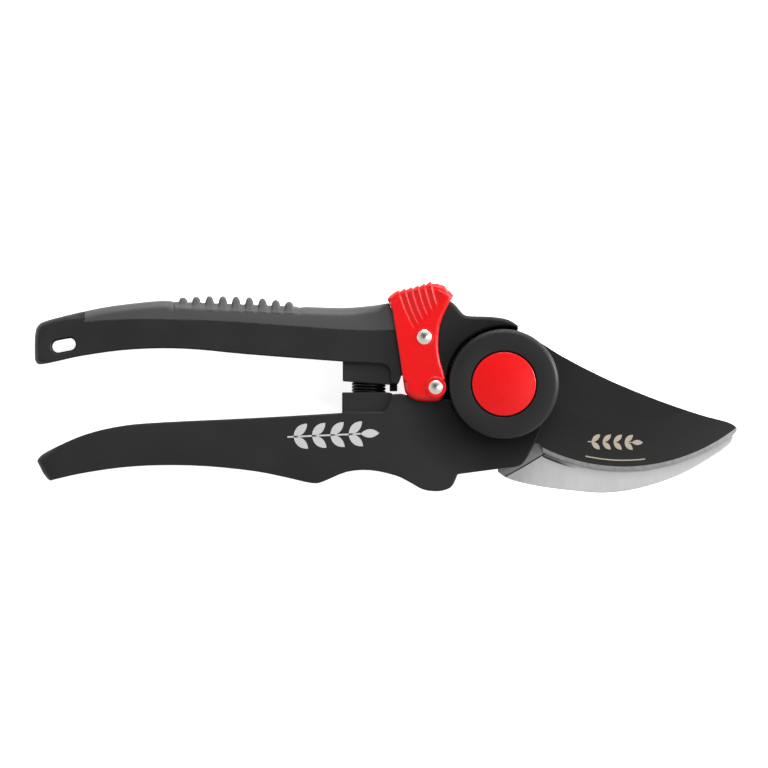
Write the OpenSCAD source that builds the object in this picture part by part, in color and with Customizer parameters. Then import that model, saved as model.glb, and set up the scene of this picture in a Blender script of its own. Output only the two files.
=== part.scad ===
// Bypass pruning shears, closed and locked, lying on the flat rear boss.
// Units are mm. X runs to the blade tip, Y to the upper handle, Z to the front.
// The pivot axis is X = 0, Y = 0 and the rear boss face is Z = 0.

/* [Pivot and boss] */
// Radius of the round boss, front and rear
boss_r = 16.5; // [15:0.1:18]
// Gap between the boss and the handle that turns round it
boss_gap = 0.6; // [0.4:0.1:1]
// Height of each boss cover
cover_t = 3; // [2.5:0.1:4]
// Radius of the red caps
cap_r = 9.55; // [8:0.05:11]
// Gap round each cap
cap_gap = 0.35; // [0.2:0.05:0.6]
// Rise of the front cap over its cover
cap_rise = 0.8; // [0.4:0.1:1.5]
// Radius of the pivot bolt shank
bolt_r = 4; // [3:0.1:5]
// Radius of the pivot bolt head
bolt_head_r = 7.2; // [6:0.1:8]
// Outer radius of the pivot bush
bush_r = 5.5; // [5:0.1:7]
// Radial running gap in the bushes
run_gap = 0.05; // [0.03:0.01:0.1]

/* [Handles] */
// Rear face of the handles
rear_z = 3; // [2.6:0.1:4]
// Front face of the handles
front_z = 19; // [17:0.1:21]
// Plane between the rear and the front layer
split_z = 11; // [10:0.1:12]
// Width of the edge rounding on the handles
edge_in = 1.2; // [0.6:0.1:2]
// How far the spring blocks are set in from the handle faces
block_in = 1.2; // [0.6:0.1:2]
// Length of the hang slot
slot_len = 7.8; // [6:0.1:9]
// Width of the hang slot
slot_w = 4.2; // [3.5:0.1:5]

/* [Soft grip] */
// Wall of the soft grip over the hard core
grip_t = 1.8; // [1.2:0.1:2.5]
// Left end of the soft grip
grip_left_x = -125.8; // [-130:0.1:-120]
// Right end of the soft grip, under the lever
grip_right_x = -31.3; // [-33:0.1:-30]
// Number of thumb ribs
rib_count = 9; // [7:1:11]
// Spacing of the thumb ribs
rib_pitch = 3.98; // [3.5:0.02:4.5]
// Middle of the first rib
rib_first_x = -96.35; // [-98:0.05:-94]
// Width of a rib
rib_w = 2; // [1.5:0.1:2.6]

/* [Blades] */
// Thickness of the cutting blade
blade_t = 3; // [2.5:0.1:4]
// Thickness of the hook blade
hook_t = 3.95; // [3:0.05:5]
// Sliding gap between the two blades
blade_gap = 0.05; // [0.02:0.01:0.1]
// Radius of the cutting edge
edge_r = 56.1; // [54:0.1:58]
// Width of the bare sharpened bevel
bevel_w = 1.2; // [0.8:0.1:2]
// Radius where the wide grind starts
grind_r = 42; // [38:0.5:48]
// Radius of the inner edge of the hook
hook_in_r = 52.5; // [50:0.5:54]

/* [Lock lever] */
// Lever pivot, along X
lever_x = -23.9; // [-26:0.1:-22]
// Lever pivot, along Y
lever_y = 14.1; // [12:0.1:16]
// Lock pin, along X
pin_x = -20.5; // [-22:0.1:-19]
// Lock pin, along Y
pin_y = -1; // [-2:0.1:0]
// Thickness of the lever cheeks
cheek_t = 1.9; // [1.4:0.1:2.2]
// Gap between the cheeks and the handle
cheek_gap = 0.1; // [0.05:0.05:0.2]
// Radius of the crown's inner face about the lever pivot
crown_r = 14; // [13.8:0.1:14.5]
// Radius of the lever rivet shank
rivet_r = 1.6; // [1.3:0.1:2]
// Radius of the rivet heads
head_r = 2.2; // [1.9:0.1:2.6]
// Radius of the lock pin between the cheeks
pin_r = 1.5; // [1.2:0.1:1.8]

/* [Return spring] */
// Spring axis, along X
spring_x = -40.6; // [-42:0.1:-39]
// Floor of the lower spring pocket
spring_low_y = -8.5; // [-10:0.1:-7]
// Floor of the upper spring pocket
spring_high_y = 6.6; // [5:0.1:8]
// Outer diameter of the spring
spring_od = 10.3; // [9:0.1:11]
// Diameter of the spring wire
wire_d = 0.85; // [0.6:0.05:1.2]
// Number of coils
coils = 15; // [8:1:17]

/* [Hidden] */
$fn = 64;
mid_z = (rear_z + front_z) / 2;
hook_z = split_z - blade_gap - hook_t;
blade_z = split_z;
hub_r = boss_r + boss_gap;
lever_lo = rear_z - cheek_gap - cheek_t;
lever_hi = front_z + cheek_gap + cheek_t;
neck_r = crown_r - 0.6;
edge_x = 36;
edge_y = 30;

// ---- curves ----

// One point between b and c on a smooth curve through a, b, c, d.
function between(a, b, c, d, t) =
    0.5 * (2 * b + (c - a) * t + (2 * a - 5 * b + 4 * c - d) * t * t
           + (3 * b - a - 3 * c + d) * t * t * t);

// A smooth curve through the points p, with n steps in each span.
function curve(p, n = 3) =
    [for (i = [0 : len(p) - 2], k = [0 : n - 1])
         between(p[max(i - 1, 0)], p[i], p[i + 1], p[min(i + 2, len(p) - 1)], k / n),
     p[len(p) - 1]];

// Points on an arc.
function arc(x, y, r, from, to, n) =
    [for (i = [0 : n]) let (a = from + (to - from) * i / n) [x + r * cos(a), y + r * sin(a)]];

// Angle on the cutting edge circle at a given X.
function edge_angle(x, r) = -acos((x - edge_x) / r);

// ---- outlines ----

// Upper handle, hub side left open; the hub is cut or added by its users.
module upper_outline() {
    polygon(concat(
        curve([[-140.8, 7.2], [-140.8, 14], [-139.9, 17.5], [-136, 19.4], [-121, 22.9],
               [-109, 24.5], [-103, 25], [-99.6, 24.9]]),
        curve([[-98.4, 24.1], [-80, 23.9], [-61.8, 23]], 4),
        curve([[-59.5, 23.2], [-48, 22.9], [-40, 23.5], [-34.6, 24.3]]),
        [[-34.2, 23.5]],
        arc(lever_x, lever_y, neck_r, 139.5, 47.5, 12),
        curve([[-13.9, 23], [-12.2, 21], [-10, 20.4], [-4, 20.2], [1.1, 19.4], [4.3, 17.5]]),
        [[4.3, 16.4], [0, 10], [-12, 1], [-16.4, 2]],
        arc(lever_x, lever_y, neck_r, -59, -121, 8),
        [[-31, 1.8], [-31.7, 0], [-33.9, 0.2]],
        curve([[-33.9, 3.5], [-34.5, 5.4], [-36, 6.2]], 3),
        curve([[-48.4, 6.7], [-77.2, 8.9], [-91.6, 10.3], [-103, 10.7], [-115, 10.1],
               [-127, 8.4], [-133, 7.1], [-138.6, 5.9], [-140.2, 6.1]])));
}

// Lower handle and its front plate round the boss.
module lower_outline() {
    polygon(concat(
        curve([[-140.2, -23], [-138.4, -21], [-133, -18.2], [-127, -15.6], [-121, -13.8],
               [-115, -12.6], [-109, -11.9], [-97, -11.2], [-77.2, -10.3], [-50.5, -8.8], [-48, -8.5]]),
        curve([[-36.2, -8.3], [-34.9, -7.4], [-33.9, -4.9], [-33.6, -3.1]]),
        curve([[-31, -2.9], [-26, -3.8], [-15.8, -4.7]]),
        [[0, -4.7], [12.6, -9]],
        curve([[11.9, -11.2], [10.2, -15.7], [8.6, -19], [6.2, -23.2], [3.9, -24.8], [-1.8, -25.5], [-13.9, -27.1]]),
        curve([[-14.4, -28.4], [-15.9, -31], [-19.5, -32.2], [-24.2, -31.7], [-28.1, -29.6],
               [-32.5, -27.5], [-40, -25.9], [-47.2, -26.4], [-54, -29.2], [-57.5, -29.8],
               [-65.2, -28.1], [-74.8, -26.2], [-89.2, -24.7], [-103, -24.4], [-115, -25.1],
               [-127, -26.9], [-134.5, -28.6], [-136.5, -28.9], [-138.4, -26.6]])));
}

// Steel of the cutting blade, without its hub and tang.
module blade_outline() {
    polygon(concat(
        curve([[0, 15.4], [6, 14.6], [11, 12.4], [16.9, 8.7], [25.9, 3.9], [34.9, -0.3],
               [46.9, -5.1], [58.9, -9.2], [66.5, -11.2], [69.2, -12.4], [70.1, -13.6],
               [69.4, -14.9]]),
        arc(edge_x, edge_y, edge_r, edge_angle(68.8, edge_r), edge_angle(11.8, edge_r), 28),
        curve([[11.6, -19.5], [11.1, -18.3], [10, -17.8], [8.6, -18.5]]),
        [[7, -17.5], [0, -15.4]]));
}

// Hub, tang and catch finger of the cutting blade.
module tang_outline() {
    circle(r = 15.5);
    polygon(concat(
        curve([[-4, -14], [-14, -10.6], [-30, -10.8], [-58, -12.4], [-63, -15], [-62, -19.4],
               [-56, -21.6], [-36, -20.8], [-20, -24], [-8, -20], [0, -14]])));
    polygon([[-13, 4], [-17.9, 4.7], [-18.6, 1.5], [-18.6, -0.8], [-18.8, -3.4],
             [-18.8, -5.8], [-13, -6]]);
}

// Steel of the hook: hook, hub and tang.
module hook_outline() {
    polygon(concat(
        curve([[-1.2, -12], [-1.3, -20], [-1.8, -25.6], [-1.1, -26.9], [2.5, -28.9],
               [10.9, -30.8], [21.4, -32.1], [30.4, -32.7], [40.9, -31.3], [52.9, -27.3],
               [63.4, -21.4], [68, -18], [69.1, -15.8]]),
        [[67.6, -14.1]],
        arc(edge_x, edge_y, hook_in_r, edge_angle(66, hook_in_r),
            edge_angle(26, hook_in_r), 20),
        curve([[21.4, -18.6], [17.8, -14], [16, -9], [15.2, -4], [12, 0]])));
    circle(r = 15.5);
    polygon(concat(
        curve([[-6, 13], [-14, 16.6], [-24, 19.6], [-40, 19], [-60, 18.4], [-64, 16],
               [-61, 12.8], [-46, 10.6], [-35, 9.4], [-24, 7], [-14, 4], [-8, 0]])));
}

// Red lever seen from the front.
module lever_outline() {
    polygon(concat(
        curve([[-34.9, 25.7], [-32, 27.9], [-27.8, 29], [-24.1, 30], [-22.1, 30.7],
               [-19.2, 30.2], [-17.2, 29], [-15.1, 26.5]]),
        curve([[-16.4, 24.3], [-19.3, 17.6], [-19.6, 9.3], [-17.7, 2.1], [-17.2, -0.3],
               [-17.6, -3.1], [-19, -5], [-21.4, -5.3], [-25.8, -5], [-28.2, -4],
               [-29.5, -2.7], [-30, -0.8], [-30.4, 2.2], [-31.3, 8.3], [-33.4, 21.7]])));
}

// Area of the upper handle that is covered by the soft grip.
module grip_area() {
    polygon(concat(
        curve([[grip_left_x, 18.7], [-115.4, 19.4], [-100.4, 19.4], [-85.5, 19], [-68, 17.8],
               [-51.5, 16.6], [-40, 16.1], [grip_right_x, 16.4]]),
        [[grip_right_x, 40], [grip_left_x, 40]]));
}

module slot_outline() {
    translate([-132.1, 11.6]) rotate(11) {
        square([slot_len - slot_w, slot_w], center = true);
        for (s = [-1, 1])
            translate([s * (slot_len - slot_w) / 2, 0]) circle(d = slot_w);
    }
}

// ---- shared solids ----

module layer(z0, z1) {
    translate([0, 0, z0]) linear_extrude(z1 - z0) children();
}

// A plate whose rear and front edges are rounded in two steps of the given widths.
module rounded_plate(z0, z1, rear = edge_in, front = edge_in) {
    layer(z0 + rear, z1 - front) children();
    layer(z0 + rear * 0.35, z1 - front * 0.35) offset(delta = -edge_in * 0.25) children();
    layer(z0, z1) offset(delta = -edge_in * 0.8) children();
}

module disc(r, z0, z1) {
    translate([0, 0, z0]) cylinder(r = r, h = z1 - z0);
}

module spring_pocket(from_y, to_y, post_y, post_h) {
    difference() {
        translate([spring_x, from_y, mid_z]) rotate([-90, 0, 0])
            cylinder(r = spring_od / 2 + 0.45, h = to_y - from_y);
        translate([spring_x, post_y, mid_z]) rotate([-90, 0, 0])
            cylinder(r = spring_od / 2 - wire_d - 1.2, h = post_h);
    }
}

// Core of the upper handle under the soft grip.
module grip_core() {
    layer(rear_z + grip_t, front_z - grip_t) intersection() {
        offset(delta = -grip_t) upper_outline();
        grip_area();
    }
}

module grip_shell() {
    difference() {
        intersection() {
            rounded_plate(rear_z, front_z) upper_outline();
            layer(rear_z - 1, front_z + 1) grip_area();
        }
        grip_core();
    }
}

// ---- blade side ----

module lower_handle() {
    color("#2c2c2c") difference() {
        union() {
            rounded_plate(rear_z, split_z + blade_gap, front = 0) difference() {
                lower_outline();
                circle(r = hub_r);
                polygon([[0, 0], [-15.3, -21], [-14.6, -25], [-14.3, -28], [-14.3, -40],
                         [40, -40], [40, 0]]);
            }
            rounded_plate(split_z + blade_gap, front_z, rear = 0) lower_outline();
            disc(boss_r, split_z + blade_gap, front_z);
            layer(rear_z + block_in, front_z - block_in)
                polygon([[-48.6, -10.5], [-33.6, -10.5], [-33.6, -2.7], [-35, -2.5],
                         [-48.6, -2.5]]);
        }
        layer(blade_z - 0.01, blade_z + blade_t) {
            blade_outline();
            tang_outline();
        }
        disc(bolt_head_r + 1.4, split_z, front_z + 1);
        spring_pocket(spring_low_y, 2, spring_low_y, 3.6);
    }
}

module cutting_blade() {
    color("#303030") difference() {
        union() {
            intersection() {
                layer(blade_z, blade_z + blade_t) blade_outline();
                translate([edge_x, edge_y, blade_z]) rotate_extrude($fn = 180)
                    polygon([[0, 0], [edge_r, 0], [edge_r, 0.25], [edge_r - bevel_w, 1.3],
                             [grind_r, blade_t], [0, blade_t]]);
            }
            layer(blade_z, blade_z + blade_t) tang_outline();
        }
        disc(bolt_r, 0, front_z);
    }
}

module front_boss_cover() {
    color("#2f2f2f") difference() {
        translate([0, 0, front_z]) rotate_extrude()
            polygon([[0, 0], [boss_r, 0], [boss_r, cover_t - 1.1], [boss_r - 0.35, cover_t - 0.4],
                     [boss_r - 1.1, cover_t], [0, cover_t]]);
        disc(cap_r + cap_gap, front_z + cover_t - 1, front_z + cover_t + 1);
    }
}

module front_cap() {
    dome_r = 76;
    color("#e81b1d") translate([0, 0, front_z + cover_t - 1]) rotate_extrude()
        polygon(concat([[0, 0], [cap_r, 0]],
                       arc(0, 1 + cap_rise - dome_r, dome_r, acos(cap_r / dome_r), 90, 6)));
}

module pivot_bolt() {
    color("#b5b5b0") difference() {
        union() {
            disc(bolt_r, 2.3, blade_z + blade_t + 1);
            disc(bolt_head_r, blade_z + blade_t + 0.9, blade_z + blade_t + 4.2);
        }
        translate([0, 0, blade_z + blade_t + 2.4])
            cylinder(r = 3.4, h = 3, $fn = 6);
    }
}

module front_washer() {
    color("#a8a8a2") difference() {
        disc(bolt_head_r + 0.6, blade_z + blade_t, blade_z + blade_t + 0.9);
        disc(bolt_r, 0, front_z);
    }
}

module rear_washer() {
    color("#a8a8a2") difference() {
        disc(bolt_head_r + 0.6, hook_z - 1, hook_z - blade_gap);
        disc(bolt_r, 0, front_z);
    }
}

module spring_washer() {
    color("#8f8f8a") difference() {
        disc(bolt_head_r - 0.6, hook_z - 1.9, hook_z - 1);
        disc(bolt_r, 0, front_z);
        rotate(20) translate([0, -0.5, 0]) cube([12, 1, 12]);
    }
}

module pivot_nut() {
    color("#b5b5b0") difference() {
        translate([0, 0, 2.7]) cylinder(r = 7.4, h = hook_z - 1.9 - 2.7, $fn = 6);
        disc(bolt_r, 0, front_z);
    }
}

// Coil of round wire, with close coils at the two ends.
module return_spring() {
    sides = 6;
    steps = 20;
    n = coils * steps;
    length = spring_high_y - 0.1 - spring_low_y - wire_d;
    radius = (spring_od - wire_d) / 2;
    color("#111111") translate([spring_x, spring_low_y + wire_d / 2, mid_z])
        rotate([-90, 0, 0]) polyhedron(
            points = [for (i = [0 : n], k = [0 : sides - 1])
                          let (a = 360 * i / steps, b = 360 * k / sides,
                               r = radius + cos(b) * wire_d / 2)
                          [r * cos(a), r * sin(a), length * i / n + sin(b) * wire_d / 2]],
            faces = concat(
                [[for (k = [0 : sides - 1]) k]],
                [for (i = [0 : n - 1], k = [0 : sides - 1])
                     let (a = i * sides + k, b = i * sides + (k + 1) % sides)
                     [a, a + sides, b + sides, b]],
                [[for (k = [0 : sides - 1]) n * sides + sides - 1 - k]]));
}

// ---- hook side ----

module upper_handle() {
    color("#2c2c2c") difference() {
        union() {
            difference() {
                rounded_plate(rear_z, front_z) upper_outline();
                layer(rear_z - 1, front_z + 1) grip_area();
            }
            grip_core();
            layer(rear_z + block_in, front_z - block_in)
                polygon([[-48.4, 8], [-48.4, 0.8], [-33.9, -0.3], [-33.9, 8]]);
            disc(boss_r, rear_z, split_z - 0.1);
        }
        disc(hub_r, split_z - 0.1, front_z + 1);
        layer(split_z - 0.1, blade_z + blade_t + 0.2)
            polygon(concat([[0, 0]], arc(0, 0, hub_r + 2, 156, 216, 12)));
        layer(hook_z, hook_z + hook_t + 0.2) hook_outline();
        disc(bolt_head_r + 1.4, rear_z - 1, split_z);
        layer(rear_z - 1, front_z + 1) slot_outline();
        translate([lever_x, lever_y, 0]) disc(rivet_r + 0.9, 0, 30);
        spring_pocket(-4, spring_high_y, spring_high_y - 3.6, 4);
        translate([-34.3, -4, mid_z - 6]) cube([2.3, 7, 12]);
    }
}

module soft_grip() {
    color("#6a6a6a") {
        grip_shell();
        for (i = [0 : rib_count - 1])
            translate([rib_first_x + i * rib_pitch - rib_w / 2, 22.6, rear_z])
                cube([rib_w, 3.8 - 0.058 * pow(i - 2.6, 2), front_z - rear_z]);
    }
}

module hook_blade() {
    color("#b8b8b8") difference() {
        layer(hook_z, hook_z + hook_t) hook_outline();
        disc(bush_r, 0, front_z);
        translate([lever_x, lever_y, 0]) disc(rivet_r + 0.9, 0, 30);
    }
}

module pivot_bush() {
    color("#9c8a55") difference() {
        disc(bush_r, hook_z, hook_z + hook_t);
        disc(bolt_r + run_gap, 0, front_z);
    }
}

module lever_bush() {
    color("#9c8a55") translate([lever_x, lever_y, 0]) difference() {
        disc(rivet_r + 0.9, rear_z, front_z);
        disc(rivet_r + run_gap, 0, 30);
    }
}

module rear_boss_cover() {
    color("#2f2f2f") difference() {
        rotate_extrude()
            polygon([[0, 0], [boss_r - 1.1, 0], [boss_r - 0.35, 0.4], [boss_r, 1.1],
                     [boss_r, rear_z], [0, rear_z]]);
        disc(cap_r + cap_gap, -1, 1.2);
        disc(bolt_head_r + 1.4, 1.9, rear_z + 1);
    }
}

module rear_cap() {
    color("#e81b1d") disc(cap_r, 0, 1.2);
}

module stop_bumper() {
    color("#0b0b0b") translate([-34.3, -2.2, mid_z - 6]) cube([2.3, 5.2, 12]);
}

// ---- lock lever ----

module lock_lever() {
    color("#e81b1d") difference() {
        union() {
            for (z = [lever_lo, front_z + cheek_gap])
                layer(z, z + cheek_t) lever_outline();
            layer(lever_lo, lever_hi) difference() {
                lever_outline();
                translate([lever_x, lever_y]) circle(r = crown_r);
                translate([-60, -20]) square([80, 42]);
            }
            for (i = [0 : 5])
                layer(lever_lo - 0.3, lever_lo + 1) ridge(i);
            for (i = [0 : 5])
                layer(lever_hi - 1, lever_hi + 0.3) ridge(i);
            translate([pin_x, pin_y, 0]) disc(head_r + 0.9, lever_lo - 0.25, lever_lo + 1);
            translate([pin_x, pin_y, 0]) disc(head_r + 0.9, lever_hi - 1, lever_hi + 0.25);
        }
        translate([lever_x, lever_y, 0]) disc(rivet_r, -1, 30);
        translate([pin_x, pin_y, 0]) disc(pin_r, -1, 30);
    }
}

// Thumb ridge i of the lever's crown.
module ridge(i) {
    top = [-31.3 + 1.96 * i, 27.7 + 0.38 * i];
    low = [-27 + 1.44 * i, 17.1 + 1.42 * i];
    polygon([top - [0.35, 0], top + [0.35, 0], low + [0.35, 0], low - [0.35, 0]]);
}

module lever_rivet() {
    color("#c9c9c4") translate([lever_x, lever_y, 0]) {
        disc(rivet_r, lever_lo, lever_hi);
        disc(head_r, lever_hi, lever_hi + 0.7);
        disc(head_r, lever_lo - 0.7, lever_lo);
    }
}

module lock_pin() {
    color("#c9c9c4") translate([pin_x, pin_y, 0]) {
        disc(pin_r, lever_lo - 0.3, lever_hi + 0.3);
        disc(head_r, lever_hi + 0.25, lever_hi + 0.8);
        disc(head_r, lever_lo - 0.8, lever_lo - 0.25);
    }
}

lower_handle();
cutting_blade();
front_boss_cover();
front_cap();
pivot_bolt();
pivot_nut();
spring_washer();
rear_washer();
front_washer();
return_spring();
upper_handle();
soft_grip();
hook_blade();
pivot_bush();
lever_bush();
rear_boss_cover();
rear_cap();
stop_bumper();
lock_lever();
lever_rivet();
lock_pin();
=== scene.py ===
"""Looks of the bypass pruning shears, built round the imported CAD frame.

Shapes are worked out in millimetres in the frame of the part: X to the blade tip, Y to the upper
handle, Z to the front. The moulded and ground parts are distance fields over sections of
the CAD nodes, turned into meshes; turned parts are lathed; the spring is swept.
"""

import math
from itertools import product

import bpy
import numpy as np
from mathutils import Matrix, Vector


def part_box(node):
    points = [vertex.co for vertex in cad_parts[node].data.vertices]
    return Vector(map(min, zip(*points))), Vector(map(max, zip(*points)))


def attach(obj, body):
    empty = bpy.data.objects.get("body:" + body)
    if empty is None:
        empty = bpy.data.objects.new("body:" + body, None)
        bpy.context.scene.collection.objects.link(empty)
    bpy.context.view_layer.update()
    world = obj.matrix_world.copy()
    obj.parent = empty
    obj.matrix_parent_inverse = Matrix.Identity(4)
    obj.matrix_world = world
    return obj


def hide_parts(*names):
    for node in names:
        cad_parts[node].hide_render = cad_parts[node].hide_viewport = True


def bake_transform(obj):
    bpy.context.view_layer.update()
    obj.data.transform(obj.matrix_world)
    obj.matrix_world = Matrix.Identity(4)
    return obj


MM = 0.001
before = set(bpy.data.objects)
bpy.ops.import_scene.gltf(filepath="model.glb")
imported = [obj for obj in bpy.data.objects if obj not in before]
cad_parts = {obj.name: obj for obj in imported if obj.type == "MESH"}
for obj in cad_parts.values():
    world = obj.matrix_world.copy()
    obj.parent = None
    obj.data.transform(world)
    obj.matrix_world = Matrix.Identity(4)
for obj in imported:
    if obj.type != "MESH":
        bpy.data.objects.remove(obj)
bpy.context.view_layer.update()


def cad(node):
    """Lowest and highest corner of a CAD node, in mm."""
    low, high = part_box(node)
    return np.array(low) / MM, np.array(high) / MM


# ---------------------------------------------------------------- driving sizes, in mm

# Handles: their faces, and the heights at which their outlines are read off the CAD.
# Body and grip reach into each other by SEAM.
REAR_Z, FRONT_Z = cad("lower_handle")[0][2], cad("lower_handle")[1][2]
MID_Z, HALF_Z = (REAR_Z + FRONT_Z) / 2, (FRONT_Z - REAR_Z) / 2
SECTION_FRONT, SECTION_REAR = FRONT_Z - 1.497, REAR_Z + 1.503
SPLIT_GAP, SEAM = 0.1, 0.1

# Boss covers and caps, and the gap that the handles leave round them.
BOSS_R, COVER_TOP = cad("front_boss_cover")[1][0], cad("front_boss_cover")[1][2]
CAP_R, CAP_TOP = cad("front_cap")[1][0], cad("front_cap")[1][2]
HUB_GAP_R = BOSS_R + 0.6

# Blades: both are ground round one centre. The wide grind starts at GRIND_R and the bevel
# ends in the edge at EDGE_R. The groove of the hook runs just outside the edge.
BLADE_Z, BLADE_TOP = cad("cutting_blade")[0][2], cad("cutting_blade")[1][2]
HOOK_Z, HOOK_TOP = cad("hook_blade")[0][2], cad("hook_blade")[1][2]
EDGE_CENTRE = np.array([36.0, 30.0])
EDGE_R, BEVEL_W, GRIND_R = 56.1, 1.3, 42.0
BEVEL_T, EDGE_T = 1.3, 0.25
GROOVE_R, GROOVE_START, GROOVE_END = 57.1, 11.0, 21.0

# Lock lever: its cheeks stand proud of the handles on both sides.
LEVER_LOW, LEVER_HIGH = REAR_Z - 2, FRONT_Z + 2
CHEEK_T = 1.9
LEVER_PIVOT = (cad("lever_rivet")[0] + cad("lever_rivet")[1])[:2] / 2
LOCK_PIN = (cad("lock_pin")[0] + cad("lock_pin")[1])[:2] / 2

# Thumb ribs on the soft grip, and the stretch of its top that is set down between them.
RIB_FIRST_X, RIB_PITCH, RIB_COUNT, RIB_HALF = -96.35, 3.98, 9, 1.25
RIB_ZONE = (-99.1, -61.7)
RIB_BASE = 24.75


# ---------------------------------------------------------------- distance fields

def cad_section(node, z):
    """Segments (n, 2, 2) in mm where a CAD node meets the plane at height z."""
    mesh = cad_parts[node].data
    mesh.calc_loop_triangles()
    points = np.array([v.co for v in mesh.vertices]) / MM
    corners = points[np.array([t.vertices for t in mesh.loop_triangles])]
    side = corners[:, :, 2] - z
    cut = (side.min(1) < 0) & (side.max(1) > 0)
    corners, side = corners[cut], side[cut]
    ends = np.full((len(corners), 3, 2), np.nan)
    for k in range(3):
        a, b = corners[:, k], corners[:, (k + 1) % 3]
        sa, sb = side[:, k], side[:, (k + 1) % 3]
        hit = sa * sb < 0
        t = (sa[hit] / (sa[hit] - sb[hit]))[:, None]
        ends[hit, k] = (a[hit] + (b[hit] - a[hit]) * t)[:, :2]
    order = np.argsort(np.isnan(ends[:, :, 0]), axis=1, kind="stable")[:, :2]
    found = np.take_along_axis(ends, order[:, :, None], axis=1)
    return found[np.linalg.norm(found[:, 1] - found[:, 0], axis=1) > 1e-6]


def loop(points):
    """Segments of a closed outline."""
    points = np.array(points, float)
    return np.stack([points, np.roll(points, -1, axis=0)], axis=1)


def to_each(q, segments):
    """Distances (n, m) from points q to each of the segments."""
    a, e = segments[:, 0], segments[:, 1] - segments[:, 0]
    w = q[:, None, :] - a[None]
    t = np.clip((w * e).sum(2) / (e * e).sum(1), 0, 1)
    return np.sqrt(((w - e * t[..., None]) ** 2).sum(2))


def row_inside(segments, xs, y):
    """Which of the points (xs, y) lie inside the segments."""
    a, b = segments[:, 0], segments[:, 1]
    cross = (a[:, 1] > y) != (b[:, 1] > y)
    a, b = a[cross], b[cross]
    at = np.sort(a[:, 0] + (y - a[:, 1]) * (b[:, 0] - a[:, 0]) / (b[:, 1] - a[:, 1]))
    return (len(at) - np.searchsorted(at, xs)) % 2 == 1


class Outline:
    """Signed distance in mm to an outline, negative inside, sampled on a grid."""

    def __init__(self, segments, seam=None, step=0.2, pad=5.0, tile=40):
        """seam: a mask of segments that count for inside or outside but have no distance."""
        self.step = step
        self.low = segments.reshape(-1, 2).min(0) - pad
        size = ((segments.reshape(-1, 2).max(0) + pad - self.low) / step).astype(int) + 2
        xs, ys = [self.low[i] + step * np.arange(size[i]) for i in (0, 1)]
        walls = segments if seam is None else segments[~seam]
        self.d = np.empty(size)
        for i, j in product(range(0, size[0], tile), range(0, size[1], tile)):
            gx, gy = np.meshgrid(xs[i:i + tile], ys[j:j + tile], indexing="ij")
            q = np.stack([gx.ravel(), gy.ravel()], 1)
            centre = (q[0] + q[-1]) / 2
            far = to_each(centre[None], walls)[0]
            near = walls[far <= far.min() + np.linalg.norm(q[-1] - q[0])]
            self.d[i:i + tile, j:j + tile] = to_each(q, near).min(1).reshape(gx.shape)
        for j, y in enumerate(ys):
            self.d[row_inside(segments, xs, y), j] *= -1

    def __call__(self, x, y):
        u = (x - self.low[0]) / self.step
        v = (y - self.low[1]) / self.step
        cu = np.clip(u, 0, self.d.shape[0] - 1.001)
        cv = np.clip(v, 0, self.d.shape[1] - 1.001)
        i, j = cu.astype(int), cv.astype(int)
        s, t = cu - i, cv - j
        inner = ((self.d[i, j] * (1 - t) + self.d[i, j + 1] * t) * (1 - s)
                 + (self.d[i + 1, j] * (1 - t) + self.d[i + 1, j + 1] * t) * s)
        return inner + self.step * np.hypot(u - cu, v - cv)


def joined(one, other, tolerance=0.03):
    """Outline of two sections that touch, without the seam between them."""
    mid = [s.mean(1) for s in (one, other)]
    seam = np.concatenate([to_each(mid[0], other).min(1) < tolerance,
                           to_each(mid[1], one).min(1) < tolerance])
    return Outline(np.concatenate([one, other]), seam)


def corner(a, b, r):
    """Intersection of a < 0 and b < 0 with the edge between them rounded to r."""
    u, v = a + r, b + r
    return np.minimum(np.maximum(u, v), 0) + np.hypot(np.maximum(u, 0), np.maximum(v, 0)) - r


def plate(d, z, z0, z1, r0, r1):
    """Outline d between heights z0 and z1, with rounded rear and front edges."""
    return np.maximum(corner(d, z - z1, r1), corner(d, z0 - z, r0))


def merge(a, b, r):
    """Union with a fillet of about r in the hollow between the two."""
    h = np.clip(0.5 + (b - a) / (2 * r), 0, 1)
    return b + (a - b) * h - r * h * (1 - h)


def ramp(x, low, high):
    """Smooth step from 0 at low to 1 at high."""
    t = np.clip((x - low) / (high - low), 0, 1)
    return t * t * (3 - 2 * t)


# ---------------------------------------------------------------- meshes

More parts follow.
